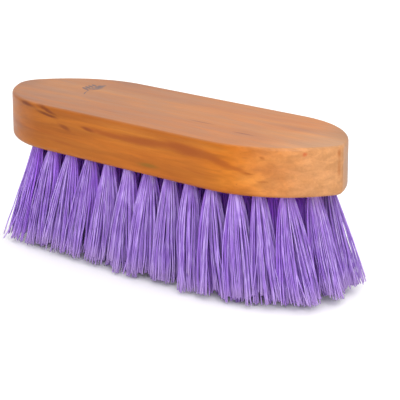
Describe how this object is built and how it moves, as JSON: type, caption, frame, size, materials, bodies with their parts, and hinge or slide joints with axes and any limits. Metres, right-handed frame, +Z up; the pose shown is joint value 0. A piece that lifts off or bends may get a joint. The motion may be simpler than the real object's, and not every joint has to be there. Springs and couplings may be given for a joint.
{
  "type": "dandy brush",
  "caption": "Oval wooden-backed grooming brush with splayed tufts of stiff synthetic bristle, held in drilled holes by flat wire anchors.",
  "frame": {"origin": "the level of the trimmed bristle tips, under the middle of the wooden back", "axes": "+X along the back towards the end whose tufts stand nearest the nose, +Z up through the back, +Y across it"},
  "size_m": [0.2041, 0.0776, 0.0703],
  "materials": {
    "lacquered_wood": "clear gloss lacquer",
    "bristle": "extruded filament",
    "anchor_wire": "drawn flat wire"
  },
  "bodies": {
    "root": {"inner_tuft_pair_01": "bristle", "inner_tuft_pair_02": "bristle", "inner_tuft_pair_03": "bristle", "inner_tuft_pair_04": "bristle", "inner_tuft_pair_05": "bristle", "inner_tuft_pair_06": "bristle", "inner_tuft_pair_07": "bristle", "inner_tuft_pair_08": "bristle", "inner_tuft_pair_09": "bristle", "inner_tuft_pair_10": "bristle", "inner_tuft_pair_11": "bristle", "inner_tuft_pair_12": "bristle", "middle_tuft_01": "bristle", "middle_tuft_02": "bristle", "middle_tuft_03": "bristle", "middle_tuft_04": "bristle", "middle_tuft_05": "bristle", "middle_tuft_06": "bristle", "middle_tuft_07": "bristle", "middle_tuft_08": "bristle", "middle_tuft_09": "bristle", "middle_tuft_10": "bristle", "middle_tuft_11": "bristle", "middle_tuft_12": "bristle", "middle_tuft_13": "bristle", "rim_tuft_01": "bristle", "rim_tuft_02": "bristle", "rim_tuft_03": "bristle", "rim_tuft_04": "bristle", "rim_tuft_05": "bristle", "rim_tuft_06": "bristle", "rim_tuft_07": "bristle", "rim_tuft_08": "bristle", "rim_tuft_09": "bristle", "rim_tuft_10": "bristle", "rim_tuft_11": "bristle", "rim_tuft_12": "bristle", "rim_tuft_13": "bristle", "rim_tuft_14": "bristle", "rim_tuft_15": "bristle", "rim_tuft_16": "bristle", "rim_tuft_17": "bristle", "rim_tuft_18": "bristle", "rim_tuft_19": "bristle", "rim_tuft_20": "bristle", "rim_tuft_21": "bristle", "rim_tuft_22": "bristle", "rim_tuft_23": "bristle", "rim_tuft_24": "bristle", "rim_tuft_25": "bristle", "rim_tuft_26": "bristle", "rim_tuft_27": "bristle", "rim_tuft_28": "bristle", "rim_tuft_29": "bristle", "rim_tuft_30": "bristle", "rim_tuft_31": "bristle", "rim_tuft_32": "bristle", "tuft_anchors": "anchor_wire", "wooden_back": "lacquered_wood"}
  },
  "joints": []
}
